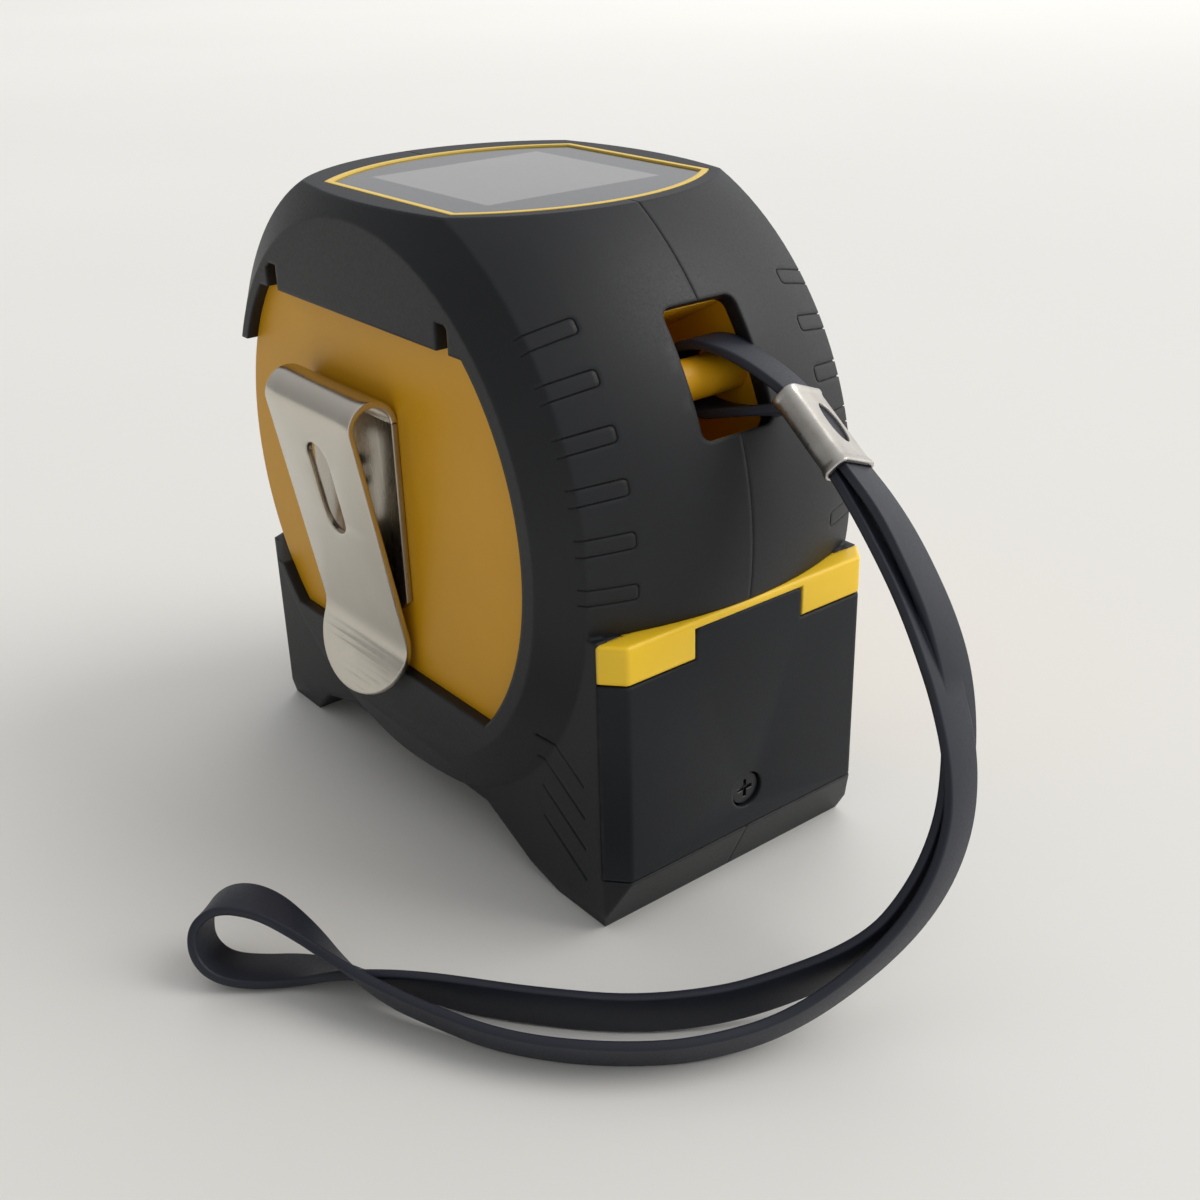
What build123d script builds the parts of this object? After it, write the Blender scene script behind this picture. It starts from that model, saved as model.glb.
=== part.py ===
from build123d import *
import os
import math

os.makedirs("parts", exist_ok=True)

# Pocket tape measure with a laser rangefinder, display, belt clip and wrist strap.
# Drawing frame: x = 0 rear panel, +X towards the blade mouth, y = 0 mid plane,
# +Y the belt clip side, z = 0 the feet.  Everything is shifted by (-XC, -YC, 0)
# on export, so the origin is the middle of the footprint of the object.
XC, YC = 43.5, 2.695

# ---- driving dimensions (mm) ----
H = 80.0                  # height over the display rim
CX, CZ = 43.2, 44.0       # centre of the round body
R_MID = 43.4              # outer radius at the mid plane
R_EDGE = 39.2             # outer radius at the bevel
Y_EDGE = 20.2             # half width where the bevel starts
R_RING = 34.0             # radius of the side ring
Y_RING = 23.5             # half width over the side ring
Y_DISC = 22.0             # half width over the yellow side plate
R_DISC = 32.2             # radius of the opening round the side plate
R_PLAN = 49.7             # radius of the crown across the width
SKIN = 2.0                # overmould thickness
WALL = 2.0                # case wall thickness
Z_FLAP = 66.5             # lower edge of the top flap
Z_DISC = 21.3             # lower edge of the side plate
PANEL_A, PANEL_W = 18.07, 20.40   # rear panel half width, width over its chamfers
CHAM = 2.64               # depth of the rear chamfer
Z_SEAM = 7.3              # lower edge of the battery cover
Z_COVER = 33.16           # upper edge of the battery cover
Z_BAND = 38.15            # upper edge of the rear band
TAB_Y, TAB_Z = 8.31, 37.12        # tab on the battery cover
SCREW_Z = 12.69           # battery cover screw height
WIN_Y, WIN_H = 5.22, 15.0         # lanyard window half width, height
WIN_ANG = 28.3            # direction of the lanyard window, above the horizontal
BAR_X, BAR_Z, BAR_R = 9.6, 62.0, 2.4
DRUM_X, DRUM_Z = 44.0, 33.8
COIL_R, HUB_R = 21.7, 15.2
BLADE_W, BLADE_T = 19.0, 0.25
BLADE_Z = 12.0            # top of the blade at its middle
CLIP_X0, CLIP_X1 = 37.5, 58.0
CLIP_T = 0.9
STRAP_D = 1.2             # strap thickness

out = {}


def put(name, shape):
    out[name] = shape


def box(x0, x1, y0, y1, z0, z1):
    return Pos((x0 + x1) / 2, (y0 + y1) / 2, (z0 + z1) / 2) * Box(x1 - x0, y1 - y0, z1 - z0)


def cyl_y(x, z, r, y0, y1):
    return Pos(x, (y0 + y1) / 2, z) * Rot(90, 0, 0) * Cylinder(r, y1 - y0)


def cyl_x(y, z, r, x0, x1):
    return Pos((x0 + x1) / 2, y, z) * Rot(0, 90, 0) * Cylinder(r, x1 - x0)


def cyl_z(x, y, r, z0, z1):
    return Pos(x, y, (z0 + z1) / 2) * Cylinder(r, z1 - z0)


def revolve_profile(r_edge, y_edge, r_ring, y_ring, r_mid, wide=None):
    """Body of revolution about the cross axis. With wide, the bevel runs on outwards instead of the crown."""
    p = lambda r, y: (CX + r, y, CZ)
    if wide is None:
        e = [Polyline(p(r_edge, -y_edge), p(r_ring, -y_ring), p(0, -y_ring), p(0, y_ring), p(r_ring, y_ring), p(r_edge, y_edge)),
             ThreePointArc(p(r_edge, y_edge), p(r_mid, 0), p(r_edge, -y_edge))]
        f = make_face(e)
    else:
        f = make_face(Polyline(p(0, -y_ring), p(r_ring, -y_ring), p(r_edge, -y_edge), p(80, -wide), p(80, wide),
                               p(r_edge, y_edge), p(r_ring, y_ring), p(0, y_ring), close=True))
    return revolve(f, axis=Axis((CX, 0, CZ), (0, 1, 0)), revolution_arc=360)


def prism_xz(pts, half):
    f = make_face(Polyline(*[(x, -half, z) for x, z in pts], close=True))
    return extrude(f, amount=2 * half, dir=(0, 1, 0))


def prism_xy(pts, z0, z1):
    f = make_face(Polyline(*[(x, y, z0) for x, y in pts], close=True))
    return extrude(f, amount=z1 - z0, dir=(0, 0, 1))


def prism_yz(pts, x0, x1):
    f = make_face(Polyline(*[(x0, y, z) for y, z in pts], close=True))
    return extrude(f, amount=x1 - x0, dir=(1, 0, 0))


def radial(ang, r, y=0.0):
    """Location on the round body: its z axis points outwards, its y axis stays along Y."""
    a = math.radians(ang)
    d = Vector(math.cos(a), 0, math.sin(a))
    o = Vector(CX, y, CZ) + d * r
    return Plane(origin=o, x_dir=Vector(math.sin(a), 0, -math.cos(a)), z_dir=d)


def rbox(ang, r0, r1, y, half_t, half_y):
    pl = radial(ang, (r0 + r1) / 2, y)
    return pl * Box(2 * half_t, 2 * half_y, r1 - r0)


def rcyl(ang, r0, r1, y, rad):
    return radial(ang, (r0 + r1) / 2, y) * Cylinder(rad, r1 - r0)


def try_fillet(shape, pick, r):
    try:
        e = pick(shape)
        if len(e) == 0:
            return shape
        s = fillet(e, r)
        return s if s.is_valid else shape
    except Exception:
        return shape


# ---------------------------------------------------------------- body envelopes
block_plan = [(0, -PANEL_A), (0, PANEL_A), (CHAM, PANEL_W), (12, PANEL_W), (12, -PANEL_W), (CHAM, -PANEL_W)]
foot_poly = [(0.0, 38.1), (0.0, Z_SEAM), (3.4, 0), (12.5, 0), (26.5, 6.6), (60, 6.6), (67.5, 4.6), (72.5, 0), (80.4, 0), (82.0, 1.8), (82.0, 40), (10.0, 40), (8.0, 38.1)]
case_poly = [(2.9, 38.0), (2.9, 7.9), (5.2, 2.2), (12.3, 2.2), (26.3, 8.8), (60.6, 8.8), (68.3, 6.7), (73.4, 2.2), (79.8, 2.2), (79.8, 40), (11.0, 40), (9.0, 38.0)]
cav_poly = [(20.4, 40), (20.4, 10.6), (27.0, 10.6), (61.0, 10.6), (69.0, 8.6), (73.6, 4.6), (77.6, 4.6), (77.6, 40)]
side_trim = [(19.6, 0), (20.6, 3.5), (23.7, 13), (23.7, 90), (-23.7, 90), (-23.7, 13), (-20.6, 3.5), (-19.6, 0)]

round_out = revolve_profile(R_EDGE, Y_EDGE, R_RING, Y_RING, R_MID)
limit_out = revolve_profile(R_EDGE, Y_EDGE, R_RING, Y_RING, None, wide=20.45)
base_out = prism_xz(foot_poly, 25) & limit_out & prism_yz(side_trim, -5, 95)
# rear and front corners of the base
rear_plan = prism_xy([(0, -PANEL_A), (0, PANEL_A), (CHAM, PANEL_W + 0.03), (CHAM, 30), (79.2, 30), (79.2, 20.5), (82.0, 15),
                      (82.0, -15), (79.2, -20.5), (79.2, -30), (CHAM, -30), (CHAM, -PANEL_W - 0.03)], -1, 41)
base_out = base_out & rear_plan
top_cut = box(-10, 100, -30, 30, -10, H)
outer = (round_out & box(-5, 95, -30, 30, 16, H)) + base_out

round_case = revolve_profile(37.3, 18.6, 32.6, Y_DISC, R_MID - SKIN)
limit_case = revolve_profile(37.3, 18.6, 32.6, Y_DISC, None, wide=18.3)
base_case = prism_xz(case_poly, 25) & limit_case
case_solid = (round_case & box(-5, 95, -30, 30, 18, H - 2)) + base_case

round_cav = revolve_profile(35.4, 16.6, 31.2, 20.0, R_MID - SKIN - WALL)
limit_cav = revolve_profile(35.4, 16.6, 31.2, 20.0, None, wide=16.4)
base_cav = prism_xz(cav_poly, 25) & limit_cav
cavity = (round_cav & box(2, 95, -30, 30, 20, H - 4.2)) + base_cav

# ---------------------------------------------------------------- openings
window_cut = rbox(180 - WIN_ANG, 38, 52, 0, WIN_H / 2, WIN_Y)
window_cut = try_fillet(window_cut, lambda s: s.edges().filter_by(lambda e: abs((e @ 1 - e @ 0).normalized().dot(radial(180 - WIN_ANG, 1).z_dir)) > 0.99), 1.3)
pocket_cut = rbox(180 - WIN_ANG, 28.2, 52, 0, WIN_H / 2 - 0.1, WIN_Y + 0.3)
pocket_wall = rbox(180 - WIN_ANG, 26.8, 42.5, 0, WIN_H / 2 + 1.4, WIN_Y + 1.8)

# display window plan: straight sides, arched ends
RING_X0, RING_X1, RING_Y = 28.06, 55.74, 18.79
RING_XA, RING_XB = 21.0, 63.0


def lens_plan(off, z0, z1):
    x0, x1, y = RING_X0 + off * 0.6, RING_X1 - off * 0.6, RING_Y - off
    e = [Line((x0, y, z0), (x1, y, z0)),
         ThreePointArc((x1, y, z0), (RING_XB - off, 0, z0), (x1, -y, z0)),
         Line((x1, -y, z0), (x0, -y, z0)),
         ThreePointArc((x0, -y, z0), (RING_XA + off, 0, z0), (x0, y, z0))]
    return extrude(make_face(e), amount=z1 - z0, dir=(0, 0, 1))


lens_cut = lens_plan(0.0, 78.0, 90)
lcd_cut = box(28.6, 56.4, -14.0, 14.0, 75, 90)

# side plate opening in the overmould, with the notches beside the flap
side_open = cyl_y(CX + 0.4, CZ, R_DISC, 10, 30) & box(0, 95, 9, 31, Z_DISC, Z_FLAP)
side_open = side_open + box(61.9, 64.6, 10, 30, Z_FLAP - 3, Z_FLAP + 3.2) + box(23.0, 25.4, 10, 30, Z_FLAP - 3, Z_FLAP + 3.2)
side_open = side_open & cyl_y(CX + 0.4, CZ, R_DISC + 0.4, 9, 31)
side_open = side_open + box(64, 95, 10, 30, 26, 58)
side_both = side_open + mirror(side_open, about=Plane.XZ)
front_open = box(68, 95, -30, 30, 26, 58)
rear_clear = box(-5, 2.9, -30, 30, Z_SEAM, Z_BAND)

# laser window and buttons on the front slope
LW_ANG = 23.6
lw_cut = rbox(LW_ANG, 38.4, 50, 0, 4.9, 12.0)
lw_hole = rbox(LW_ANG, 36, 50, 0, 4.1, 10.8)
BTN_ANG = 47.0
btn_cut = rbox(BTN_ANG, 36, 50, 0, 4.55, 6.75)
mode_cut = rcyl(BTN_ANG, 34, 50, 12.6, 3.0)
pow_cut = rcyl(BTN_ANG, 34, 50, -12.6, 3.0)
lock_cut = box(78.5, 95, -3.4, 3.4, 29.2, 38.4)
mouth_cut = box(72, 95, -11.0, 11.0, 9.6, 16.6)
mouth_pocket = box(79.8, 95, -13.0, 13.0, 6.0, 19.0)

# screws that hold the two halves, driven from the -Y side
SCREWS = [(29.0, 61.0), (70.5, 47.0), (24.0, 13.4)]
HEADS = [20.2, 20.2, 17.6]          # depth of each head seat from the mid plane

# ---------------------------------------------------------------- overmould halves
over = outer - case_solid - rear_clear - side_both - front_open - window_cut - lens_cut - lcd_cut
over = over - lw_cut - btn_cut - mode_cut - pow_cut - mouth_cut - mouth_pocket
tray_zone = box(2.6, 20.3, -17.3, 17.3, 8.4, 33.2)
over = over - tray_zone - box(2.6, 4.3, -16.6, 16.6, 32.9, 38.1) - cavity
for sx, sz in SCREWS:
    over = over - cyl_y(sx, sz, 2.45, -30, -18)
# shallow grip grooves: rear slot outlines and the diagonal grooves low on the sides
slot_ang = [40.0, 31.7, 23.2, 15.2, 7.1, -1.2]


def rounded_slot(ang, y, half_t, half_y, r):
    b = rbox(ang, 38.2, 46, y, half_t, half_y)
    d = radial(ang, 1).z_dir
    return try_fillet(b, lambda s: s.edges().filter_by(lambda e: abs((e @ 1 - e @ 0).normalized().dot(d)) > 0.99), r)


slots = None
for a in slot_ang:
    for s in (1, -1):
        g_out = rounded_slot(180 - a, s * 20.1, 1.04, 5.5, 0.65)
        g_in = rounded_slot(180 - a, s * 20.32, 0.82, 5.5, 0.43)
        ring = (g_out - g_in)
        slots = ring if slots is None else slots + ring
shell_skin = round_out - revolve_profile(R_EDGE - 0.27, Y_EDGE, R_RING, Y_RING, R_MID - 0.27)
over = over - (slots & shell_skin)
for k in range(4):
    x0, z0 = 6.2, 23.4 - 4.3 * k
    for s in (1, -1):
        g = Pos(x0 + 3.6, s * 20.9, z0 - 2.2) * Rot(0, -32, 0) * Box(9.6, 1.5, 0.5)
        over = over - g
left_over = over & box(-10, 100, 0.04, 40, -5, 90)
right_over = over & box(-10, 100, -40, -0.04, -5, 90)


def closed(q):
    sh = sorted(q.shells(), key=lambda w: -w.area)
    return Solid(sh[0]) if len(sh) > 1 else q


def main_solid(s):
    ss = sorted(s.solids(), key=lambda q: -q.volume)
    keep = [closed(q) for q in ss if q.volume > 2.0]
    return keep[0] if len(keep) == 1 else Compound(children=keep)


put("left_overmould", main_solid(left_over))
put("right_overmould", main_solid(right_over))

# ---------------------------------------------------------------- case halves
case = case_solid - cavity
case = case + (pocket_wall & round_case)
for (sx, sz), by in zip(SCREWS, (20.7, 20.4, 18.0)):
    case = case + cyl_y(sx, sz, 2.6, -by, by)
case = case + cyl_y(DRUM_X, DRUM_Z, 5.0, 14.0, 20.7) + cyl_y(DRUM_X, DRUM_Z, 5.0, -20.7, -14.0)
case = case - pocket_cut - lcd_cut - lw_hole - btn_cut - mode_cut - pow_cut - lock_cut - mouth_cut - mouth_pocket
case = case - tray_zone - box(2.6, 5.1, -16.6, 16.6, 32.9, 38.1)
case = case - box(-5, 2.9, -30, 30, 0, Z_BAND)
for (sx, sz), hy in zip(SCREWS, HEADS):
    case = case - cyl_y(sx, sz, 1.25, -30, 9.0) - cyl_y(sx, sz, 2.4, -30, -hy)
case = case - cyl_y(DRUM_X, DRUM_Z, 3.0, -17.5, 17.5)
bar_hole = cyl_y(BAR_X, BAR_Z, BAR_R, -6.7, 6.7)
case = case - bar_hole - cyl_y(47.75, 46.0, 1.25, 13, 30)
put("left_case_half", main_solid(case & box(-10, 100, 0.02, 40, -5, 90)))
put("right_case_half", main_solid(case & box(-10, 100, -40, -0.02, -5, 90)))

# ---------------------------------------------------------------- rear band, tray, cover
band = prism_xy([(0, -PANEL_A), (0, PANEL_A), (CHAM, PANEL_W), (CHAM, -PANEL_W)], Z_COVER + 0.12, Z_BAND - 0.05)
band = try_fillet(band, lambda s: s.edges().filter_by(Axis.Z).sort_by(Axis.X)[:2], 0.9)
band = try_fillet(band, lambda s: s.edges().filter_by(Plane.XY).filter_by(lambda e: (e @ 0.5).X < 2.5), 0.45)
band = band - box(-1, 1.9, -TAB_Y - 0.12, TAB_Y + 0.12, Z_COVER - 1, TAB_Z + 0.1)
tray = box(2.9, 20.2, -17.2, 17.2, 8.5, 33.1) - box(2.0, 19.0, -16.0, 16.0, 14.4, 31.8)
tray = tray + box(1.95, 4.2, -16.5, 16.5, 33.28, 38.0) + box(2.95, 5.0, -16.5, 16.5, 32.6, 33.5)
tray = tray - cyl_x(0, SCREW_Z, 1.05, 2.0, 9.0)
put("battery_tray", band + tray)

cover = prism_xy([(0, -PANEL_A), (0, PANEL_A), (CHAM, PANEL_W), (CHAM, -PANEL_W)], Z_SEAM + 0.12, Z_COVER)
cover = try_fillet(cover, lambda s: s.edges().filter_by(Axis.Z).sort_by(Axis.X)[:2], 0.8)
cover = cover + box(0, 1.85, -TAB_Y, TAB_Y, Z_COVER - 2, TAB_Z)
cover = try_fillet(cover, lambda s: s.edges().filter_by(Axis.X).filter_by(lambda e: (e @ 0.5).Z > TAB_Z - 0.1), 0.9)
cover = try_fillet(cover, lambda s: s.faces().sort_by(Axis.X)[0].edges(), 0.3)
cover = cover - cyl_x(0, SCREW_Z, 2.35, -1, 1.5) - cyl_x(0, SCREW_Z, 1.15, -1, 4)
put("battery_cover", cover)

cs = cyl_x(0, SCREW_Z, 2.05, 0.45, 1.5) + cyl_x(0, SCREW_Z, 1.0, 1.4, 8.2)
cs = cs - box(0.0, 0.95, -0.28, 0.28, SCREW_Z - 1.2, SCREW_Z + 1.2) - box(0.0, 0.95, -1.2, 1.2, SCREW_Z - 0.28, SCREW_Z + 0.28)
put("battery_cover_screw", cs)

cell_x, cell_z = 10.9, 23.1
cell = cyl_y(cell_x, cell_z, 7.75, -13.5, 12.7) + cyl_y(cell_x, cell_z, 3.0, 12.7, 13.5)
put("battery_cell", cell)
spring = None
for k in range(4):
    t = Pos(cell_x, -13.95 - 0.5 * k, cell_z) * Rot(90, 0, 0) * Torus(2.4 + 0.5 * k, 0.4)
    spring = t if spring is None else spring + t
spring = spring + box(cell_x - 4.2, cell_x + 4.2, -15.95, -15.6, cell_z - 5, cell_z + 5)
plate_c = box(cell_x - 4.0, cell_x + 4.0, 15.6, 15.95, cell_z - 5, cell_z + 5) + cyl_y(cell_x, cell_z, 1.8, 13.52, 15.7)
put("battery_contacts", Compound(children=[main_solid(spring), main_solid(plate_c)]))

# ---------------------------------------------------------------- lanyard bar
put("lanyard_bar", cyl_y(BAR_X, BAR_Z, BAR_R, -6.65, 6.65))

# ---------------------------------------------------------------- display
put("display_trim_ring", lens_plan(0.05, 78.0, 80.05) - lens_plan(0.85, 77.5, 81))
put("display_window", lens_plan(0.9, 78.0, 79.85))
put("lcd_panel", box(30.09, 54.99, -12.55, 12.55, 76.4, 77.95))
board = box(26, 61, -16.5, 16.5, 71.6, 72.8)
for bx, by in ((28, 14.5), (59, 14.5), (28, -14.5), (59, -14.5)):
    board = board - cyl_z(bx, by, 1.0, 70, 75)
put("main_circuit_board", board)
spacer = box(31, 54, -11.5, 11.5, 72.8, 76.4) - box(32.5, 52.5, -10, 10, 72, 77)
put("display_frame", spacer)
chips = [box(34, 41, -3.5, 3.5, 70.4, 71.6), box(46, 50, 6, 10, 70.7, 71.6), box(45, 49, -9, -4, 70.6, 71.6)]
put("board_chips", Compound(children=chips))
put("buzzer", cyl_z(33.5, 10.5, 4.0, 69.2, 71.6))

# ---------------------------------------------------------------- laser rangefinder
LZ = 61.4                # height of the laser axis
lm = box(50, 66, -10.3, 10.3, 57.2, 65.6) - cyl_x(5.2, LZ, 2.5, 56, 68) - cyl_x(-4.4, LZ, 3.7, 53, 68)
put("laser_housing", lm)
put("laser_barrel", cyl_x(5.2, LZ, 2.48, 56.2, 65.4) - cyl_x(5.2, LZ, 1.6, 64.0, 67))
put("laser_lens", cyl_x(5.2, LZ, 1.58, 64.1, 65.1))
put("receiver_lens", cyl_x(-4.4, LZ, 3.68, 63.9, 65.5))
put("laser_board", box(48.4, 49.8, -10.3, 10.3, 57.2, 65.6))
lw_shell = (revolve_profile(R_EDGE - 0.3, Y_EDGE, R_RING, Y_RING, R_MID - 0.3) - revolve_profile(37.35, 18.65, 32.7, Y_DISC + 0.05, R_MID - SKIN + 0.03))
put("laser_window", lw_shell & rbox(LW_ANG, 40.0, 46, 0, 4.75, 11.85))

# ---------------------------------------------------------------- buttons
btn = rbox(BTN_ANG, 37.6, 44.4, 0, 4.3, 6.5)
btn = try_fillet(btn, lambda s: s.edges().filter_by(lambda e: abs((e @ 1 - e @ 0).normalized().dot(radial(BTN_ANG, 1).z_dir)) > 0.99), 1.6)
btn = try_fillet(btn, lambda s: s.faces().sort_by(lambda f: f.center().dot(radial(BTN_ANG, 1).z_dir))[-1].edges(), 0.7)
btn = btn + rbox(BTN_ANG, 36.6, 37.7, 0, 5.2, 7.4)
put("measure_button", btn)


def round_button(y):
    b = rcyl(BTN_ANG, 35.0, 42.9, y, 2.75)
    b = try_fillet(b, lambda s: s.edges().filter_by(GeomType.CIRCLE).sort_by(lambda e: e.center().dot(radial(BTN_ANG, 1).z_dir))[-1:], 0.6)
    return b + rcyl(BTN_ANG, 34.3, 35.2, y, 3.2)


put("mode_button", round_button(12.6))
put("power_button", round_button(-12.6))
put("switch_board", rbox(BTN_ANG, 31.9, 32.9, 0, 4.5, 15.0))
put("switch_domes", Compound(children=[rbox(BTN_ANG, 32.9, 35.7, 0, 2.2, 2.2), rbox(BTN_ANG, 32.9, 33.45, 12.6, 1.6, 1.6), rbox(BTN_ANG, 32.9, 33.45, -12.6, 1.6, 1.6)]))

# ---------------------------------------------------------------- lock slider and brake
stem = box(72.0, 85.4, -3.1, 3.1, 32.4, 38.1)
arm = box(70.2, 73.4, -4.0, 4.0, 18.8, 38.1)
lock = stem + arm
pad = box(84.9, 87.2, -6.5, 6.5, 28.6, 41.0)
pad = try_fillet(pad, lambda s: s.edges().filter_by(Axis.X), 2.0)
pad = try_fillet(pad, lambda s: s.faces().sort_by(Axis.X)[-1].edges(), 0.8)
for k in range(4):
    pad = pad - box(86.8, 90, -5.0, 5.0, 31.0 + 2.4 * k, 31.9 + 2.4 * k)
put("lock_slider", lock + pad)
shoe = box(69.4, 74.4, -8.0, 8.0, 16.9, 18.8)
put("brake_shoe", shoe)

# ---------------------------------------------------------------- tape, drum and spring
hub = cyl_y(DRUM_X, DRUM_Z, HUB_R, -10.0, 10.0) - cyl_y(DRUM_X, DRUM_Z, 13.6, -9.0, 11.0)
hub = hub + (cyl_y(DRUM_X, DRUM_Z, 22.8, 9.75, 10.9) - cyl_y(DRUM_X, DRUM_Z, 13.6, 9, 12))
hub = hub + cyl_y(DRUM_X, DRUM_Z, 22.8, -10.9, -9.75)
hub = hub + cyl_y(DRUM_X, DRUM_Z, 4.6, -12.6, -9.0)
hub = hub - cyl_y(DRUM_X, DRUM_Z, 3.05, -14, 12)
put("tape_drum", hub)
put("tape_coil", cyl_y(DRUM_X, DRUM_Z, COIL_R, -BLADE_W / 2, BLADE_W / 2) - cyl_y(DRUM_X, DRUM_Z, HUB_R, -12, 12))
spr = None
for r in (12.6, 11.0, 9.4, 7.8, 6.2):
    t = cyl_y(DRUM_X, DRUM_Z, r, -8.4, 8.4) - cyl_y(DRUM_X, DRUM_Z, r - 0.9, -9, 9)
    spr = t if spr is None else spr + t
spr = spr + box(DRUM_X + 3.3, DRUM_X + 12.9, -8.4, 8.4, DRUM_Z - 0.3, DRUM_Z + 0.3)
put("power_spring", spr)
axle = cyl_y(DRUM_X, DRUM_Z, 3.0, -17.4, 17.4)
put("drum_axle", axle)
cap = cyl_y(DRUM_X, DRUM_Z, 13.5, 9.15, 10.8) - cyl_y(DRUM_X, DRUM_Z, 3.05, 8, 12)
put("spring_cap", cap)

X_BL0, X_BL1 = 44.0, 83.6
sag = 1.5
b_out = make_face([ThreePointArc((X_BL0, -BLADE_W / 2, BLADE_Z + sag), (X_BL0, 0, BLADE_Z), (X_BL0, BLADE_W / 2, BLADE_Z + sag)),
                   Line((X_BL0, BLADE_W / 2, BLADE_Z + sag), (X_BL0, BLADE_W / 2, BLADE_Z + sag - BLADE_T)),
                   ThreePointArc((X_BL0, BLADE_W / 2, BLADE_Z + sag - BLADE_T), (X_BL0, 0, BLADE_Z - BLADE_T), (X_BL0, -BLADE_W / 2, BLADE_Z + sag - BLADE_T)),
                   Line((X_BL0, -BLADE_W / 2, BLADE_Z + sag - BLADE_T), (X_BL0, -BLADE_W / 2, BLADE_Z + sag))])
blade = extrude(b_out, amount=X_BL1 - X_BL0, dir=(1, 0, 0)) & box(52.5, 90, -12, 12, 5, 20)
blade = blade + box(X_BL0, 53.5, -BLADE_W / 2, BLADE_W / 2, BLADE_Z - BLADE_T, BLADE_Z)
RIV = [(78.6, -3.2), (78.6, 3.2), (82.0, 0.0)]
for rx, ry in RIV:
    blade = blade - cyl_z(rx, ry, 0.9, 5, 20)
put("tape_blade", blade)

# end hook: a tang under the blade, and the plate that catches the work
tang_z1 = BLADE_Z - BLADE_T - 0.02
tang = box(76.0, 84.6, -4.6, 4.6, tang_z1 - 0.9, tang_z1)
plate = box(84.0, 84.95, -9.0, 9.0, 1.2, 15.6)
plate = try_fillet(plate, lambda s: s.edges().filter_by(Axis.X), 2.0)
hook = tang + plate
for rx, ry in RIV:
    sl = box(rx - 0.97, rx, ry - 0.92, ry + 0.92, 5, 14) + cyl_z(rx - 0.97, ry, 0.92, 5, 14) + cyl_z(rx, ry, 0.92, 5, 14)
    hook = hook - (sl & box(70, 83.9, -9, 9, 9, 13))
put("end_hook", hook)
rv = []
for rx, ry in RIV:
    zt = BLADE_Z + (0.0 if ry == 0 else sag * (ry / (BLADE_W / 2)) ** 2)
    rv.append(cyl_z(rx, ry, 0.89, tang_z1 - 1.0, zt + 0.4) + cyl_z(rx, ry, 1.5, zt + 0.05 if ry == 0 else zt + 0.22, zt + 0.65) + cyl_z(rx, ry, 1.9, tang_z1 - 1.5, tang_z1 - 0.93))
put("hook_rivets", Compound(children=rv))

mf = box(79.9, 83.0, -12.9, 12.9, 6.1, 18.9) - mouth_cut
mf = try_fillet(mf, lambda s: s.edges().filter_by(Axis.X).filter_by(lambda e: abs((e @ 0.5).Y) > 12), 1.2)
put("mouth_frame", mf)

# ---------------------------------------------------------------- case screws
sc = []
for (sx, sz), hy in zip(SCREWS, HEADS):
    s = cyl_y(sx, sz, 2.2, -hy - 1.6, -hy) + cyl_y(sx, sz, 1.2, -hy - 0.1, 8.6)
    s = s - box(sx - 1.3, sx + 1.3, -30, -hy - 0.8, sz - 0.3, sz + 0.3) - box(sx - 0.3, sx + 0.3, -30, -hy - 0.8, sz - 1.3, sz + 1.3)
    sc.append(s)
put("case_screws", Compound(children=sc))

# ---------------------------------------------------------------- belt clip
CX0, CX1 = CLIP_X0, CLIP_X1
CM = (CX0 + CX1) / 2
Y_IN = 22.05
BEND_R = 3.42                       # outer radius of the bend
BY, BZ = Y_IN + BEND_R, 54.8
inner_leg = box(CX0, CX1, Y_IN, Y_IN + CLIP_T, 30.0, BZ)
ring_o = Pos(CM, BY, BZ) * Rot(0, 90, 0) * Cylinder(BEND_R, CX1 - CX0)
ring_i = Pos(CM, BY, BZ) * Rot(0, 90, 0) * Cylinder(BEND_R - CLIP_T, CX1 - CX0 + 2)
half_ring = (ring_o - ring_i) & box(CX0 - 1, CX1 + 1, Y_IN - 1, 40, BZ, BZ + 6)
inner = inner_leg + half_ring
inner = inner - cyl_y(47.75, 46.0, 1.3, 20, 24)
put("clip_base", inner)

# outer leg: hangs from the end of the bend, leans in to the heel, then flares to a rounded tongue
Y_OUT = BY + BEND_R                 # outer face at the bend
LEAN = 0.178                        # lean of the leg
HEEL_Z = 24.5


def leg_y(z):
    return Y_OUT - LEAN * (BZ - z)


def prism_yz_at(pts, x0, x1):
    return prism_yz(pts, x0, x1)


g = 0.02
leg = prism_yz_at([(Y_OUT, BZ - g - 0.14), (leg_y(HEEL_Z), HEEL_Z), (leg_y(HEEL_Z) - CLIP_T, HEEL_Z + 0.05), (Y_OUT - CLIP_T, BZ - g)], CX0, CX1)
flare = 0.46
tip_z = 16.6
tongue = prism_yz_at([(leg_y(HEEL_Z), HEEL_Z), (leg_y(HEEL_Z) + flare * (HEEL_Z - tip_z), tip_z),
                      (leg_y(HEEL_Z) + flare * (HEEL_Z - tip_z) - CLIP_T * 1.05, tip_z - 0.1), (leg_y(HEEL_Z) - CLIP_T, HEEL_Z + 0.05)], CX0, CX1)
ell = Pos(CM, 25, HEEL_Z - 0.6) * Rot(90, 0, 0) * extrude(Ellipse((CX1 - CX0) / 2, HEEL_Z - 0.6 - tip_z), amount=20, both=True)
ell = ell + box(CX0, CX1, 5, 45, HEEL_Z - 0.6, HEEL_Z + 3)
tongue = tongue & ell
outer_leg = leg + tongue
slot = cyl_y(CM, 48.6, 2.6, 15, 40) + cyl_y(CM, 41.2, 2.6, 15, 40) + box(CM - 2.6, CM + 2.6, 15, 40, 41.2, 48.6)
outer_leg = outer_leg - slot
put("clip_spring_leg", outer_leg)
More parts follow.
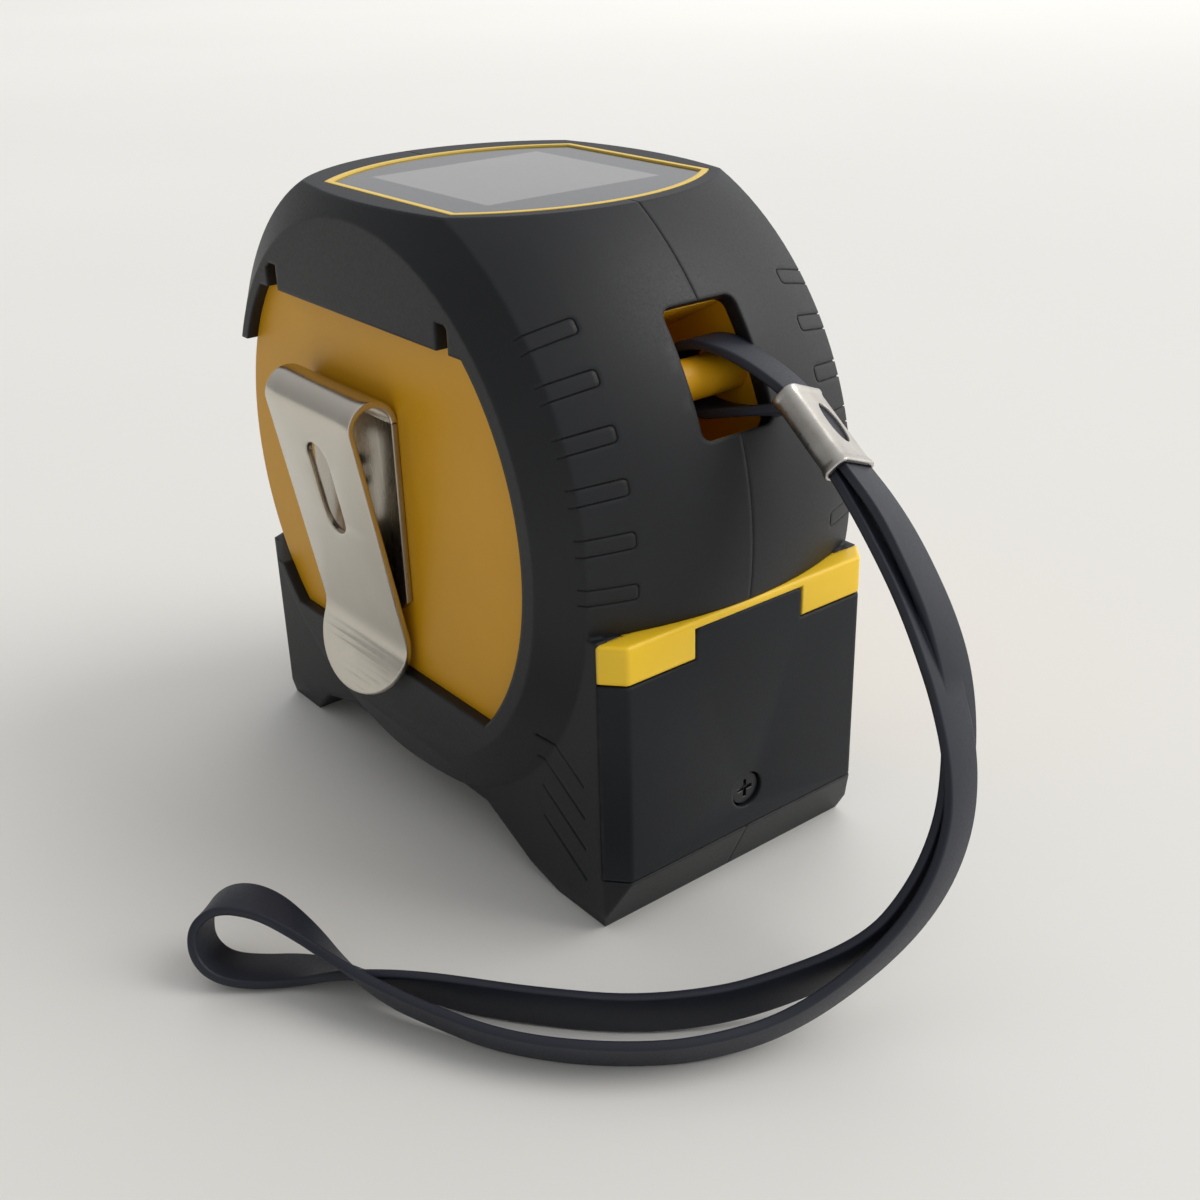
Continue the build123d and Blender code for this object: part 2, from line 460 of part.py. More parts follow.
cscrew = cyl_y(47.75, 46.0, 2.3, Y_IN + CLIP_T, Y_IN + CLIP_T + 1.1) + cyl_y(47.75, 46.0, 1.2, 15.5, Y_IN + CLIP_T + 0.2)
cscrew = cscrew - box(46.4, 49.1, Y_IN + CLIP_T + 0.6, 30, 45.7, 46.3) - box(47.45, 48.05, Y_IN + CLIP_T + 0.6, 30, 44.65, 47.35)
put("clip_screw", cscrew)

# ---------------------------------------------------------------- strap and crimp
ROUTE = [
    (-0.7, -5.3, 60.3), (-9.1, -4.4, 55.0), (-12.5, -5.1, 50.7), (-16.4, -5.8, 45.5), (-20.2, -6.2, 39.7),
    (-23.7, -6.2, 33.6), (-26.9, -5.4, 26.9), (-29.0, -3.2, 20.2), (-29.6, 1.4, 13.8), (-28.4, 8.0, 8.4),
    (-25.5, 17.8, 3.6), (-21.6, 27.0, 2.7), (-17.1, 33.3, 2.7), (-11.9, 38.5, 2.7), (-6.0, 42.6, 2.7),
    (0.2, 45.4, 3.0), (5.7, 48.2, 4.0), (11.6, 50.2, 5.4), (18.0, 51.5, 7.3), (23.0, 53.4, 8.9),
    (26.2, 56.3, 9.2), (27.3, 59.0, 7.2), (26.4, 60.0, 4.2), (24.3, 59.0, 1.9), (21.8, 55.9, 1.0),
    (18.6, 51.3, 1.0), (13.3, 48.2, 2.0), (6.3, 44.1, 2.7), (-0.2, 39.9, 2.8), (-6.4, 35.0, 2.8),
    (-12.0, 29.8, 2.8), (-16.6, 23.9, 3.0), (-20.5, 17.3, 3.8),
    (-26.6, 7.5, 8.2), (-27.7, 1.0, 13.6), (-27.2, -3.7, 19.6), (-25.7, -6.6, 26.1), (-23.5, -8.1, 33.3),
    (-20.8, -8.0, 40.1), (-17.4, -7.2, 46.3), (-13.7, -6.2, 51.8), (-9.8, -4.9, 56.0), (-1.4, -5.8, 61.3),
]
BAR_LOOP = [(-1.4, -5.8, 61.3), (4.2, -3.5, 64.9), (9.3, -1.9, 66.4), (13.6, -1.1, 64.2), (13.9, -1.0, 60.0), (10.2, -1.6, 57.9), (5.0, -3.2, 58.4), (-0.7, -5.3, 60.3)]


def corner_radii(pts):
    rad = []
    for i in range(1, len(pts) - 1):
        a, b, c = Vector(*pts[i - 1]), Vector(*pts[i]), Vector(*pts[i + 1])
        u, v = b - a, c - b
        turn = math.radians(u.get_angle(v))
        rad.append(0.45 * min(u.length, v.length) / math.tan(turn / 2))
    return rad


# one strip: starts in the crimp, goes round the wrist, back through the crimp, round the bar
mid_a = Vector(*ROUTE[0]) * 0.6 + Vector(*ROUTE[1]) * 0.4
path_pts = [tuple(mid_a)] + ROUTE[1:] + BAR_LOOP[1:-1]
last = Vector(*ROUTE[0]) * 0.93 + Vector(*ROUTE[1]) * 0.07
path_pts.append(tuple(last))
radii = corner_radii(path_pts)
print("strap corner radii", [round(r, 1) for r in radii])
path = FilletPolyline(*path_pts, radius=radii)
if not isinstance(path, (Wire, Curve)):
    path = Wire(path)
t0 = path % 0
sec = Plane(origin=path @ 0, z_dir=t0) * Circle(STRAP_D / 2)
strap = sweep(sec, path=path)
print("strap length", round(path.length, 1), "volume ratio", strap.volume / (math.pi * STRAP_D ** 2 / 4 * path.length), strap.is_valid, len(strap.solids()))
put("wrist_strap", strap)

cr_a = Vector(-0.88, -0.05, -0.48)
cr_w = Vector(0.22, -0.93, -0.30)
P1 = (Vector(*ROUTE[0]) + Vector(*ROUTE[-1])) * 0.5
P2 = (Vector(*ROUTE[1]) + Vector(*ROUTE[-2])) * 0.5
cax = (P2 - P1).normalized()
cwid = (cr_w - cax * cr_w.dot(cax)).normalized()
cpl = Plane(origin=(P1 + P2) * 0.5, x_dir=cwid, z_dir=cax)
print("crimp centre", (P1 + P2) * 0.5, "axis", cax, "width", cwid, "normal", cpl.y_dir)
crimp = Box(6.9, 3.5, 11.0)
crimp = try_fillet(crimp, lambda s: s.edges().filter_by(Axis.Z), 1.0)
crimp = crimp - Box(5.7, 2.46, 14)
crimp = crimp - (Pos(0.6, 2 if cpl.y_dir.Z > 0 else -2, -0.6) * Rot(90, 0, 0) * extrude(Ellipse(1.25, 2.6), amount=1.6, both=True))
put("strap_crimp", cpl * crimp)

# ---------------------------------------------------------------- export
lo = [1e9] * 3
hi = [-1e9] * 3
CORD = ("wrist_strap", "strap_crimp")
for name, shp in out.items():
    moved = [Pos(-XC, -YC, 0) * q for q in shp.solids()]
    shp = moved[0] if len(moved) == 1 else Compound(children=moved)
    shp.label = name
    bb = shp.bounding_box()
    if name not in CORD:
        for i, (a, b) in enumerate(((bb.min.X, bb.max.X), (bb.min.Y, bb.max.Y), (bb.min.Z, bb.max.Z))):
            lo[i] = min(lo[i], a)
            hi[i] = max(hi[i], b)
    export_step(shp, "parts/" + name + ".step")
print("nodes", len(out))
print("box without cord nodes", [round(v, 3) for v in lo], [round(v, 3) for v in hi])
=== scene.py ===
import bpy
import bmesh
import math
import numpy as np
from mathutils import Matrix, Vector


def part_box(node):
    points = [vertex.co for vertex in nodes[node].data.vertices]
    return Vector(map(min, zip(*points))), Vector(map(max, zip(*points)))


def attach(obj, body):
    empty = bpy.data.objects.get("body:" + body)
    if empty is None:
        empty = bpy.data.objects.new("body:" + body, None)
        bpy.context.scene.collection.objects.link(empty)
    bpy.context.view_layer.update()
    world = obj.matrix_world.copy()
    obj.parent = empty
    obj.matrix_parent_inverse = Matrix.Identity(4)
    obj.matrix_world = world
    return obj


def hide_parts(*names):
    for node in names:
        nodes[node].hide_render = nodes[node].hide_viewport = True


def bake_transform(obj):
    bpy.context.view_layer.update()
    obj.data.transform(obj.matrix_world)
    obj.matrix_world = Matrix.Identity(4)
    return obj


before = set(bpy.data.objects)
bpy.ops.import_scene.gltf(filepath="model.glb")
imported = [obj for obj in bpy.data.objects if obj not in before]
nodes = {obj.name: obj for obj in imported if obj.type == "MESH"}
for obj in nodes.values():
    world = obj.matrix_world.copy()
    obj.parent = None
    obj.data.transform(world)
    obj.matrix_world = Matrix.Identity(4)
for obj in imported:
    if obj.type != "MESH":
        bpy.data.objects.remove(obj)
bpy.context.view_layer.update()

XC, YC = 43.5, 2.695


def loc(x, y, z):
    """A place given in the drawing frame of the part, in mm, as metres in the shared frame."""
    return Vector(((x - XC) / 1000.0, (y - YC) / 1000.0, z / 1000.0))


# ------------------------------------------------------------------ camera
cam_data = bpy.data.cameras.new("camera")
cam_data.lens = 45.45
cam_data.sensor_width = 36.0
cam_data.clip_start = 0.01
cam_data.clip_end = 20.0
cam = bpy.data.objects.new("camera", cam_data)
bpy.context.scene.collection.objects.link(cam)
rv = Vector((0.99004893, -2.09554468, 1.29620649))
R = Matrix.Rotation(rv.length, 3, rv.normalized())
M = Matrix.Identity(4)
for i in range(3):
    M[i][0] = R[0][i]
    M[i][1] = -R[1][i]
    M[i][2] = -R[2][i]
eye = loc(-111.639, 108.170, 113.318)
for i in range(3):
    M[i][3] = eye[i]
cam.matrix_world = M
bpy.context.scene.camera = cam


# ------------------------------------------------------------------ materials
def new_mat(name):
    m = bpy.data.materials.new(name)
    m.use_nodes = True
    nt = m.node_tree
    nt.nodes.clear()
    out = nt.nodes.new("ShaderNodeOutputMaterial")
    p = nt.nodes.new("ShaderNodeBsdfPrincipled")
    nt.links.new(p.outputs["BSDF"], out.inputs["Surface"])
    return m, nt, p


def noise(nt, vec, scale, detail=4.0, rough=0.55):
    n = nt.nodes.new("ShaderNodeTexNoise")
    n.inputs["Scale"].default_value = scale
    n.inputs["Detail"].default_value = detail
    n.inputs["Roughness"].default_value = rough
    nt.links.new(vec, n.inputs["Vector"])
    return n.outputs["Fac"]


def remap(nt, val, a, b, lo, hi, clamp=True):
    n = nt.nodes.new("ShaderNodeMapRange")
    n.clamp = clamp
    n.inputs["From Min"].default_value = a
    n.inputs["From Max"].default_value = b
    n.inputs["To Min"].default_value = lo
    n.inputs["To Max"].default_value = hi
    nt.links.new(val, n.inputs["Value"])
    return n.outputs["Result"]


def mixcol(nt, fac, a, b):
    n = nt.nodes.new("ShaderNodeMix")
    n.data_type = "RGBA"
    ins = [s for s in n.inputs if s.type == "RGBA"]
    outs = [s for s in n.outputs if s.type == "RGBA"]
    facs = [s for s in n.inputs if s.name == "Factor" and s.type == "VALUE"]
    nt.links.new(fac, facs[0])
    for v, s in ((a, ins[0]), (b, ins[1])):
        if isinstance(v, (tuple, list)):
            s.default_value = (v[0], v[1], v[2], 1.0)
        else:
            nt.links.new(v, s)
    return outs[0]


def make(name, col, col2, rough, rough2, metallic=0.0, grain=2600.0, grain_h=0.00002, blotch=70.0,
         bevel=0.0004, edge=None, edge_amt=0.6, coat=0.0, coat_rough=0.1, spec=0.5, sheen=0.0, stretch=None, bump=0.5):
    m, nt, p = new_mat(name)
    tc = nt.nodes.new("ShaderNodeTexCoord")
    vec = tc.outputs["Object"]
    if stretch:
        mp = nt.nodes.new("ShaderNodeMapping")
        mp.inputs["Scale"].default_value = stretch
        nt.links.new(vec, mp.inputs["Vector"])
        gvec = mp.outputs["Vector"]
    else:
        gvec = vec
    n1 = noise(nt, vec, blotch, 5.0)
    n2 = noise(nt, gvec, grain, 3.0, 0.6)
    base = mixcol(nt, remap(nt, n1, 0.3, 0.7, 0.0, 1.0), col, col2)
    rr = remap(nt, n2, 0.25, 0.75, rough, rough2)
    bn = None
    if bevel:
        bn = nt.nodes.new("ShaderNodeBevel")
        bn.samples = 6
        bn.inputs["Radius"].default_value = bevel
        if edge:
            geo = nt.nodes.new("ShaderNodeNewGeometry")
            dot = nt.nodes.new("ShaderNodeVectorMath")
            dot.operation = "DOT_PRODUCT"
            nt.links.new(bn.outputs["Normal"], dot.inputs[0])
            nt.links.new(geo.outputs["Normal"], dot.inputs[1])
            msk = remap(nt, dot.outputs["Value"], 0.995, 0.90, 0.0, edge_amt)
            n3 = noise(nt, vec, 420.0, 4.0)
            br = remap(nt, n3, 0.38, 0.62, 0.15, 1.0)
            mul = nt.nodes.new("ShaderNodeMath")
            mul.operation = "MULTIPLY"
            nt.links.new(msk, mul.inputs[0])
            nt.links.new(br, mul.inputs[1])
            base = mixcol(nt, mul.outputs["Value"], base, edge)
    nt.links.new(base, p.inputs["Base Color"])
    nt.links.new(rr, p.inputs["Roughness"])
    p.inputs["Metallic"].default_value = metallic
    p.inputs["Specular IOR Level"].default_value = spec
    p.inputs["Coat Weight"].default_value = coat
    p.inputs["Coat Roughness"].default_value = coat_rough
    p.inputs["Sheen Weight"].default_value = sheen
    b = nt.nodes.new("ShaderNodeBump")
    b.inputs["Strength"].default_value = bump
    b.inputs["Distance"].default_value = grain_h
    nt.links.new(n2, b.inputs["Height"])
    if bn:
        nt.links.new(bn.outputs["Normal"], b.inputs["Normal"])
    nt.links.new(b.outputs["Normal"], p.inputs["Normal"])
    return m


MAT = {
    "overmould": make("black_overmould", (0.0072, 0.0080, 0.0098), (0.0105, 0.0115, 0.0138), 0.42, 0.54, grain=3200, grain_h=0.000016, blotch=55, bevel=0.0007, edge=(0.026, 0.028, 0.032), edge_amt=0.45, bump=0.45, spec=0.34),
    # The case halves and the battery tray band are one yellow plastic: this case colour is painted darker as painted
    # shade, and the band colour below is painted lighter as painted light.
    "yellow": make("yellow_case_painted_shade", (0.64, 0.312, 0.0045), (0.70, 0.350, 0.0065), 0.36, 0.47, spec=0.34, grain=2600, grain_h=0.000012, blotch=45, bevel=0.0004, edge=(0.90, 0.60, 0.08), edge_amt=0.4, bump=0.35),
    # band: the same yellow as the case, painted lighter where the light falls (painted light)
    "band": make("yellow_band_painted_light", (0.92, 0.585, 0.022), (0.97, 0.63, 0.030), 0.30, 0.40, spec=0.4, grain=2600, grain_h=0.00001, blotch=60, bevel=0.0004, edge=(0.95, 0.68, 0.10), edge_amt=0.4, bump=0.3),
    "ring": make("display_ring_yellow", (0.8096, 0.5441, 0.077), (0.8536, 0.5859, 0.085), 0.30, 0.40, spec=0.4, grain=2600, grain_h=0.00001, blotch=60, bevel=0.0004, edge=(0.95, 0.68, 0.10), edge_amt=0.4, bump=0.3),
    "cover": make("black_cover", (0.0066, 0.0080, 0.0108), (0.0096, 0.0114, 0.0150), 0.44, 0.56, spec=0.25, grain=4200, grain_h=0.000018, blotch=50, bevel=0.0005, edge=(0.05, 0.05, 0.052), edge_amt=0.5, bump=0.5),
    "nickel": make("nickel_plate", (0.57, 0.535, 0.465), (0.61, 0.575, 0.505), 0.21, 0.27, metallic=1.0, grain=900, grain_h=0.000004, blotch=90, bevel=0.0002, edge=(0.80, 0.78, 0.74), edge_amt=0.4, stretch=(1.0, 1.0, 0.12), bump=0.10),
    # darker copy of the nickel plate for the fixed clip leg: painted shade for the leg lying in the shadow of the outer
    # leg
    "nickel_shaded": make("nickel_plate_painted_shade", (0.40, 0.365, 0.31), (0.46, 0.425, 0.365), 0.24, 0.34, metallic=1.0, grain=900, grain_h=0.000004, blotch=90, bevel=0.0002, edge=(0.75, 0.73, 0.68), edge_amt=0.5, stretch=(1.0, 1.0, 0.12), bump=0.25),
    "crimp": make("satin_nickel", (0.48, 0.455, 0.42), (0.60, 0.575, 0.53), 0.24, 0.38, metallic=1.0, grain=2400, grain_h=0.000008, blotch=260, bevel=0.0002, edge=(0.78, 0.77, 0.74), edge_amt=0.6, bump=0.4),
    "steel": make("spring_steel", (0.40, 0.40, 0.41), (0.50, 0.50, 0.51), 0.25, 0.38, metallic=1.0, grain=1800, grain_h=0.000005, blotch=120, bevel=0.00015),
    "dark_screw": make("black_screw", (0.02, 0.02, 0.021), (0.035, 0.035, 0.037), 0.30, 0.42, metallic=0.7, grain=3000, grain_h=0.000005, blotch=300, bevel=0.0002, edge=(0.15, 0.15, 0.15)),
    "strap": make("strap_rubber", (0.0090, 0.0112, 0.0200), (0.0135, 0.0162, 0.0275), 0.40, 0.55, spec=0.42, grain=3600, grain_h=0.000014, blotch=80, bevel=0.00025, edge=(0.05, 0.052, 0.06), edge_amt=0.5, bump=0.4),
    "trim": make("black_trim", (0.012, 0.012, 0.013), (0.018, 0.018, 0.019), 0.22, 0.32, grain=2600, grain_h=0.000006, blotch=90, bevel=0.0003, edge=(0.05, 0.05, 0.05)),
    "inner": make("inner_plastic", (0.045, 0.045, 0.048), (0.06, 0.06, 0.064), 0.45, 0.6, blotch=90, bevel=0.0003),
    "pcb": make("solder_mask", (0.01, 0.11, 0.035), (0.015, 0.15, 0.05), 0.3, 0.42, blotch=500, bevel=0.0001),
    "chip": make("chip_package", (0.02, 0.02, 0.02), (0.03, 0.03, 0.03), 0.5, 0.62, blotch=600, bevel=0.0001),
    "brass": make("turned_brass", (0.60, 0.40, 0.14), (0.70, 0.50, 0.20), 0.22, 0.34, metallic=1.0, blotch=400, bevel=0.0001),
    "cell": make("cell_sleeve", (0.03, 0.03, 0.04), (0.05, 0.05, 0.07), 0.25, 0.35, blotch=120, bevel=0.0002),
    "lens": make("coated_lens", (0.03, 0.04, 0.07), (0.06, 0.05, 0.10), 0.03, 0.06, blotch=200, bevel=0.0001, coat=1.0, coat_rough=0.02),
    "laserwin": make("tinted_window", (0.035, 0.004, 0.006), (0.05, 0.006, 0.009), 0.04, 0.08, blotch=80, bevel=0.0002, coat=1.0, coat_rough=0.03),
    "red": make("red_button", (0.50, 0.018, 0.014), (0.57, 0.024, 0.018), 0.34, 0.44, blotch=90, bevel=0.0004, edge=(0.75, 0.10, 0.08), edge_amt=0.4),
    "rubber": make("button_rubber", (0.05, 0.05, 0.053), (0.065, 0.065, 0.069), 0.5, 0.62, blotch=160, bevel=0.0003),
    "tape": make("tape_paint", (0.78, 0.52, 0.03), (0.84, 0.57, 0.05), 0.22, 0.32, blotch=160, bevel=0.0001),
}

# display window: printed black border with a grey liquid crystal area behind the clear part
mat_win, nt, p = new_mat("display_window")
tc = nt.nodes.new("ShaderNodeTexCoord")
sep = nt.nodes.new("ShaderNodeSeparateXYZ")
nt.links.new(tc.outputs["Object"], sep.inputs["Vector"])


def band_mask(nt, val, mid, half, soft):
    s = nt.nodes.new("ShaderNodeMath"); s.operation = "SUBTRACT"; s.inputs[1].default_value = mid
    nt.links.new(val, s.inputs[0])
    a = nt.nodes.new("ShaderNodeMath"); a.operation = "ABSOLUTE"
    nt.links.new(s.outputs[0], a.inputs[0])
    return remap(nt, a.outputs[0], half + soft, half - soft, 0.0, 1.0)


lo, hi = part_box("lcd_panel")
mx = band_mask(nt, sep.outputs["X"], (lo.x + hi.x) / 2, (hi.x - lo.x) / 2, 0.00006)
my = band_mask(nt, sep.outputs["Y"], (lo.y + hi.y) / 2, (hi.y - lo.y) / 2, 0.00006)
mm = nt.nodes.new("ShaderNodeMath"); mm.operation = "MULTIPLY"
nt.links.new(mx, mm.inputs[0]); nt.links.new(my, mm.inputs[1])
nb = noise(nt, tc.outputs["Object"], 35.0, 3.0)
grey = mixcol(nt, remap(nt, nb, 0.3, 0.7, 0.0, 1.0), (0.19, 0.19, 0.18), (0.225, 0.225, 0.215))
base = mixcol(nt, mm.outputs[0], (0.010, 0.010, 0.011), grey)
nt.links.new(base, p.inputs["Base Color"])
nr = noise(nt, tc.outputs["Object"], 900.0, 3.0)
nt.links.new(remap(nt, nr, 0.3, 0.7, 0.10, 0.16), p.inputs["Roughness"])
p.inputs["Coat Weight"].default_value = 0.35
p.inputs["Coat Roughness"].default_value = 0.08
bb = nt.nodes.new("ShaderNodeBump"); bb.inputs["Strength"].default_value = 0.15; bb.inputs["Distance"].default_value = 0.000004
nt.links.new(nr, bb.inputs["Height"]); nt.links.new(bb.outputs["Normal"], p.inputs["Normal"])
MAT["window"] = mat_win

USE = {
    "left_overmould": "overmould", "right_overmould": "overmould", "left_case_half": "yellow", "right_case_half": "yellow",
    "battery_tray": "band", "battery_cover": "cover", "battery_cover_screw": "dark_screw", "battery_cell": "cell",
    "battery_contacts": "steel", "lanyard_bar": "yellow", "display_trim_ring": "ring", "display_window": "window",
    "lcd_panel": "trim", "main_circuit_board": "pcb", "display_frame": "inner", "board_chips": "chip", "buzzer": "chip",
    "laser_housing": "inner", "laser_barrel": "brass", "laser_lens": "lens", "receiver_lens": "lens", "laser_board": "pcb",
    "laser_window": "laserwin", "measure_button": "red", "mode_button": "rubber", "power_button": "rubber",
    "switch_board": "pcb", "switch_domes": "steel", "lock_slider": "trim", "brake_shoe": "rubber", "tape_drum": "inner",
    "tape_coil": "tape", "power_spring": "steel", "drum_axle": "steel", "spring_cap": "inner", "tape_blade": "tape",
    "end_hook": "nickel", "hook_rivets": "nickel", "mouth_frame": "trim", "case_screws": "dark_screw", "clip_base": "nickel",
    "clip_spring_leg": "nickel", "clip_screw": "nickel", "wrist_strap": "strap", "strap_crimp": "crimp",
}
ROUND = {"battery_tray": 0.0003, "battery_cover": 0.0003, "mouth_frame": 0.0003, "lock_slider": 0.0003, "end_hook": 0.00015}
for n, o in nodes.items():
    me = o.data
    me.materials.clear()
    me.materials.append(MAT[USE.get(n, "inner")])
    at = me.attributes.get("custom_normal")
    if at is not None:
        me.attributes.remove(at)
    me.shade_smooth()
    w = o.modifiers.new("weld", "WELD")
    w.merge_threshold = 0.000002
    if n in ROUND:
        bv = o.modifiers.new("round", "BEVEL")
        bv.width = ROUND[n]
        bv.segments = 3
        bv.limit_method = "ANGLE"
        bv.angle_limit = math.radians(35)
        bv.use_clamp_overlap = True
    es = o.modifiers.new("sharp", "EDGE_SPLIT")
    es.split_angle = math.radians(28)


def add_mesh(name, verts, faces, mat, smooth=True):
    me = bpy.data.meshes.new(name)
    me.from_pydata([tuple(v) for v in verts], [], faces)
    me.update()
    if smooth:
        me.shade_smooth()
    me.materials.append(mat)
    o = bpy.data.objects.new(name, me)
    bpy.context.scene.collection.objects.link(o)
    return o


# ------------------------------------------------------------------ wrist strap
W0 = (0.128, -0.924, -0.360)
LEAN = (0.375, -0.33, -0.87)
UP = (0.10, -0.10, -0.99)
STRAP = [
    ((-4.06, -4.94, 58.18), W0),
    ((-9.1, -4.4, 55.0), W0), ((-12.5, -5.1, 50.7), W0), ((-16.4, -5.8, 45.5), (0.10, -0.95, -0.30)),
    ((-20.2, -6.2, 39.7), (0.05, -0.97, -0.25)), ((-23.7, -6.2, 33.6), (0, -0.97, -0.24)),
    ((-26.9, -5.4, 26.9), (0, -0.92, -0.38)), ((-29.0, -3.2, 20.2), (0.05, -0.80, -0.60)),
    ((-29.6, 1.4, 13.8), (0.15, -0.60, -0.78)), ((-28.4, 8.0, 8.4), (0.30, -0.40, -0.86)),
    ((-25.5, 17.8, 3.6), LEAN), ((-21.6, 27.0, 2.7), LEAN), ((-17.1, 33.3, 2.7), LEAN), ((-11.9, 38.5, 2.7), LEAN),
    ((-6.0, 42.6, 2.7), LEAN), ((0.2, 45.4, 3.0), LEAN), ((5.7, 48.2, 4.0), LEAN), ((11.6, 50.2, 5.4), (0.45, -0.50, -0.74)),
    ((18.0, 51.5, 7.3), (0.50, -0.75, -0.43)), ((23.0, 53.4, 8.9), (0.50, -0.85, -0.10)), ((26.2, 56.3, 9.2), (0.5, -0.86, 0)),
    ((27.3, 59.0, 7.2), (0.6, -0.8, 0)), ((26.4, 60.0, 4.2), (0.7, -0.7, 0)), ((24.3, 59.0, 1.9), (0.78, -0.62, 0)),
    ((21.8, 55.9, 1.0), (0.82, -0.57, 0)), ((18.6, 51.3, 1.0), (0.82, -0.57, -0.05)), ((13.3, 48.2, 2.0), (0.60, -0.55, -0.60)),
    ((6.3, 44.1, 2.7), (0.25, -0.30, -0.92)), ((-0.2, 39.9, 2.8), UP), ((-6.4, 35.0, 2.8), UP), ((-12.0, 29.8, 2.8), UP),
    ((-16.6, 23.9, 3.0), UP), ((-20.5, 17.3, 3.8), UP), ((-26.6, 7.5, 8.2), (0.15, -0.35, -0.92)),
    ((-27.7, 1.0, 13.6), (0.10, -0.60, -0.79)), ((-27.2, -3.7, 19.6), (0.05, -0.80, -0.60)), ((-25.7, -6.6, 26.1), (0, -0.92, -0.38)),
    ((-23.5, -8.1, 33.3), (0, -0.97, -0.24)), ((-20.8, -8.0, 40.1), (0.05, -0.97, -0.25)), ((-17.4, -7.2, 46.3), (0.10, -0.95, -0.30)),
    ((-13.7, -6.2, 51.8), W0), ((-9.8, -4.9, 56.0), W0), ((-1.4, -5.8, 61.3), (0.10, -0.95, -0.30)),
    ((4.2, -3.5, 64.9), (0.10, -0.97, -0.20)), ((9.3, -1.9, 66.4), (0, -1, 0)), ((13.6, -1.1, 64.2), (0, -1, 0)),
    ((13.9, -1.0, 60.0), (0, -1, 0)), ((10.2, -1.6, 57.9), (0, -1, 0)), ((5.0, -3.2, 58.4), (0.10, -0.97, -0.20)),
    ((-1.288, -5.237, 59.929), W0),
]


def spline_points(pts, name):
    cu = bpy.data.curves.new(name, "CURVE")
    cu.dimensions = "3D"
    sp = cu.splines.new("NURBS")
    sp.points.add(len(pts) - 1)
    for q, v in zip(sp.points, pts):
        q.co = (v[0], v[1], v[2], 1.0)
    sp.order_u = 3
    sp.use_endpoint_u = True
    sp.resolution_u = 10
    ob = bpy.data.objects.new(name, cu)
    bpy.context.scene.collection.objects.link(ob)
    bpy.context.view_layer.update()
    me = bpy.data.meshes.new_from_object(ob)
    res = [v.co.copy() for v in me.vertices]
    bpy.data.meshes.remove(me)
    bpy.data.objects.remove(ob)
    bpy.data.curves.remove(cu)
    return res


ctr = [loc(*p_) for p_, w_ in STRAP]
line = spline_points(ctr, "strap_line")
side = spline_points([c + Vector(w_).normalized() * 0.002 for c, (p_, w_) in zip(ctr, STRAP)], "strap_side")
HALF_W, HALF_T, CORNER = 0.00262, 0.00056, 0.00030


def section(hw, ht, r, n=4):
    res = []
    for cx, cy, a0 in ((hw - r, ht - r, 0), (-(hw - r), ht - r, 90), (-(hw - r), -(ht - r), 180), (hw - r, -(ht - r), 270)):
        for k in range(n):
            a = math.radians(a0 + 90 * k / (n - 1))
            res.append((cx + r * math.cos(a), cy + r * math.sin(a)))
    return res


sec = section(HALF_W, HALF_T, CORNER)
verts, faces = [], []
ns = len(line)
total = 0.0
for i, c in enumerate(line):
    t = (line[min(i + 1, ns - 1)] - line[max(i - 1, 0)]).normalized()
    w = side[i] - c
    w = (w - t * w.dot(t)).normalized()
    nrm = t.cross(w)
    if i:
        total += (c - line[i - 1]).length
    # slight uneven swell of a moulded strip
    k = 1.0 + 0.010 * math.sin(i * 0.37) + 0.006 * math.sin(i * 0.11 + 1.0)
    for a, b in sec:
        verts.append(c + w * (a * k) + nrm * b)
m_ = len(sec)
for i in range(ns - 1):
    for j in range(m_):
        a, b = i * m_ + j, i * m_ + (j + 1) % m_
        faces.append((a, b, b + m_, a + m_))
faces.append(tuple(reversed(range(m_))))
faces.append(tuple((ns - 1) * m_ + j for j in range(m_)))
strap = add_mesh("strap_band", verts, faces, MAT["strap"])
bmx = bmesh.new(); bmx.from_mesh(strap.data); bmesh.ops.recalc_face_normals(bmx, faces=bmx.faces); bmx.to_mesh(strap.data); bmx.free()
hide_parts("wrist_strap")
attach(strap, "case")
print("strap line length mm", round(total * 1000, 1))

# ------------------------------------------------------------------ strap crimp
ca = Vector((-0.842277, 0.090244, -0.531437)).normalized()
cw = Vector((0.128083, -0.924146, -0.359929)).normalized()
cn = ca.cross(cw).normalized()
cc = loc(-5.25, -5.1, 58.15)


def crimp_point(x, y, z):
    return cc + cw * (x / 1000.0) + cn * (y / 1000.0) + ca * (z / 1000.0)


stations = [(-5.50, 0.05), (-5.42, 0.15), (-5.15, 0.17), (-4.85, 0.06), (-4.5, 0.0), (-2.5, 0.0), (0.0, 0.0), (2.5, 0.0),
            (4.3, 0.0), (4.7, 0.07), (5.05, 0.19), (5.38, 0.20), (5.50, 0.08)]
so = section(3.30, 1.58, 1.10, 7)
si = section(2.92, 1.26, 0.45, 7)
verts, faces = [], []
rings = []
for zz, fl in stations:
    rings.append([(x * (1 + fl / 3.3), y * (1 + fl / 1.9), zz) for x, y in so])
for zz, fl in reversed(stations):
    rings.append([(x, y, zz) for x, y in si])
k7 = len(so)
for r_ in rings:
    verts += [crimp_point(*q) for q in r_]
nr_ = len(rings)
for i in range(nr_):
    for j in range(k7):
        a, b = i * k7 + j, i * k7 + (j + 1) % k7
        c, d = ((i + 1) % nr_) * k7 + (j + 1) % k7, ((i + 1) % nr_) * k7 + j
        faces.append((a, b, c, d))
crimp = add_mesh("crimp_sleeve", verts, faces, MAT["crimp"])
bmx = bmesh.new(); bmx.from_mesh(crimp.data); bmesh.ops.recalc_face_normals(bmx, faces=bmx.faces); bmx.to_mesh(crimp.data); bmx.free()
n_ell = 40
cv, cf = [], []
